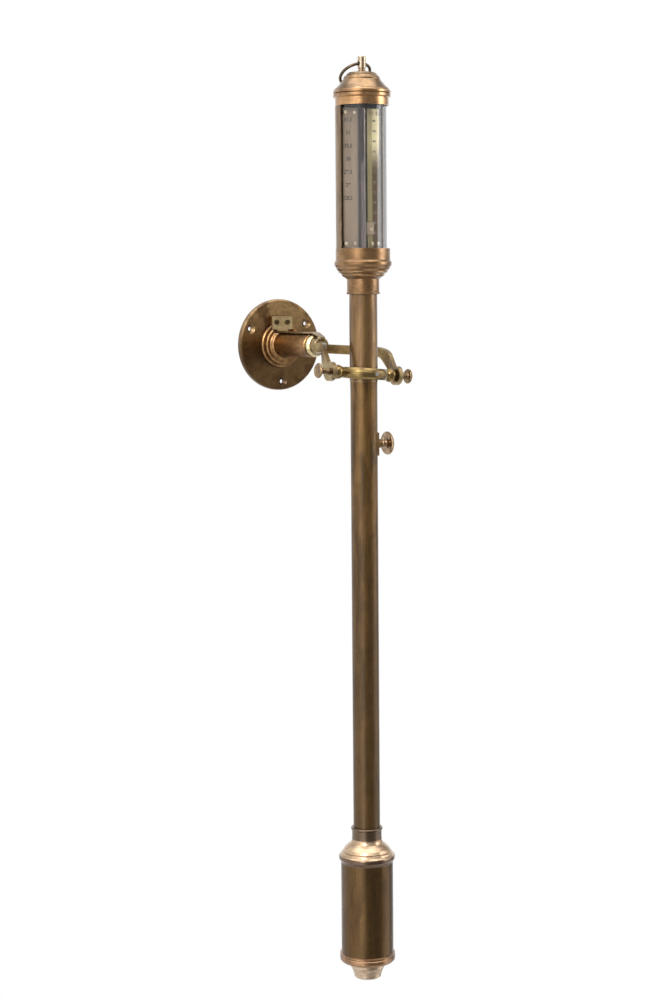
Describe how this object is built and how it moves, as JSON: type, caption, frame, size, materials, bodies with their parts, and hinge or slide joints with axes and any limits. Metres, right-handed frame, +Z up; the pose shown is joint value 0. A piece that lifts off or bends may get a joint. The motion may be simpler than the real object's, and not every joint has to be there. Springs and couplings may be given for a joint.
{
  "type": "marine stick barometer",
  "caption": "Mercury stick barometer with glazed head, vernier and portable cistern, hung in a gimbal from a wall bracket.",
  "frame": {"origin": "centre of the wall plate's back face, on the wall's surface", "axes": "+Z up along the barometer, +X to the right seen from the front, -Y out of the wall"},
  "size_m": [0.1091, 0.2047, 0.9316],
  "materials": {
    "bracket_brass": "aged olive-brown cast brass",
    "bright_brass": "handled brass, worn bright on the edges",
    "tube_brass": "drawn brass with dark brown lacquer and vertical streaks",
    "head_brass": "turned coppery brass, lacquered",
    "cistern_brass": "dark turned brass",
    "knob_brass": "pale turned brass",
    "silvered_brass": "silvered, engraved and slightly toned",
    "steel": "dull turned steel",
    "quicksilver": "liquid mercury",
    "clear_glass": "clear blown glass",
    "boxwood": "turned boxwood",
    "cork": "cut cork",
    "bag_leather": "soft undyed leather"
  },
  "bodies": {
    "bracket": {"wall_plate": "bracket_brass", "arm_socket": "bracket_brass", "socket_screws": "steel", "catch_plate": "bright_brass", "catch_screws": "bracket_brass", "arm_spindle": "bright_brass", "gimbal_fork": "bracket_brass", "fork_pin": "steel"},
    "catch": {"catch_leaf": "bracket_brass"},
    "left_screw": {"thumbscrew_left": "bright_brass"},
    "right_screw": {"thumbscrew_right": "bright_brass"},
    "gimbal": {"gimbal_ring": "tube_brass", "gimbal_pins": "steel"},
    "barometer": {"trunnion_collar": "tube_brass", "gimbal_sleeve": "tube_brass", "main_tube": "tube_brass", "head_base": "head_brass", "head_shell": "tube_brass", "glass_cylinder": "clear_glass", "cap_ring": "head_brass", "cap_dome": "head_brass", "hanging_post": "bright_brass", "scale_plate_left": "silvered_brass", "scale_plate_right": "silvered_brass", "rail_lower": "tube_brass", "rail_upper": "tube_brass", "plate_screws": "bright_brass", "mercury_tube": "clear_glass", "mercury_column": "quicksilver", "tube_packings": "cork", "pinion_saddle": "tube_brass", "saddle_screws": "bracket_brass", "cistern_top": "head_brass", "cistern_case": "cistern_brass", "cistern_base": "cistern_brass", "cistern_cup": "boxwood", "cup_lid": "boxwood", "mercury_pool": "quicksilver", "leather_bag": "bag_leather"},
    "vernier": {"vernier_plate": "silvered_brass", "vernier_screw": "bright_brass", "rack_rod": "bright_brass"},
    "knob": {"pinion_shaft": "steel", "vernier_knob": "bright_brass"},
    "hanger": {"hanging_ring": "tube_brass"},
    "adjuster": {"adjusting_screw": "steel", "adjusting_knob": "knob_brass"},
    "pad": {"pressure_pad": "boxwood"}
  },
  "joints": [
    {"name": "catch_spring", "type": "hinge", "parent": "bracket", "child": "catch", "pos_m": [0, -0.01165, 0.01335], "axis": [-1, 0, 0], "range_deg": [0, 8], "stiffness_Nm_per_rad": 6, "springref_deg": -1.15},
    {"name": "left_screw_turn", "type": "hinge", "parent": "bracket", "child": "left_screw", "pos_m": [-0.04696, -0.176, -0.02261], "axis": [-0.9968, 0, 0.0802], "range_deg": [-180, 180]},
    {"name": "right_screw_turn", "type": "hinge", "parent": "bracket", "child": "right_screw", "pos_m": [0.04275, -0.176, -0.02982], "axis": [0.9968, 0, -0.0802], "range_deg": [-180, 180]},
    {"name": "gimbal_pitch", "type": "hinge", "parent": "bracket", "child": "gimbal", "pos_m": [-0.00211, -0.176, -0.02621], "axis": [0.9968, 0, -0.0802], "range_deg": [-12, 12]},
    {"name": "gimbal_roll", "type": "hinge", "parent": "gimbal", "child": "barometer", "pos_m": [-0.00211, -0.176, -0.02621], "axis": [0, 1, 0], "range_deg": [-20, 20]},
    {"name": "hanger_swing", "type": "hinge", "parent": "barometer", "child": "hanger", "pos_m": [-0.00211, -0.176, 0.27829], "axis": [1, 0, 0], "range_deg": [0, 250]},
    {"name": "vernier_rise", "type": "slide", "parent": "barometer", "child": "vernier", "axis": [0, 0, 1], "range_m": [0, 0.1]},
    {"name": "knob_turn", "type": "hinge", "parent": "barometer", "child": "knob", "pos_m": [0.01789, -0.176, -0.09712], "axis": [1, 0, 0], "range_deg": [0, 1910]},
    {"name": "adjuster_turn", "type": "hinge", "parent": "barometer", "child": "adjuster", "pos_m": [-0.00211, -0.176, -0.63], "axis": [0, 0, -1], "range_deg": [0, 2880]},
    {"name": "pad_rise", "type": "slide", "parent": "barometer", "child": "pad", "axis": [0, 0, 1], "range_m": [0, 0.0081]}
  ],
  "couplings": [
    {"joint": "knob_turn", "follows": "vernier_rise", "rad_per_m": 333.33},
    {"joint": "pad_rise", "follows": "adjuster_turn", "m_per_rad": 0.00015915}
  ]
}
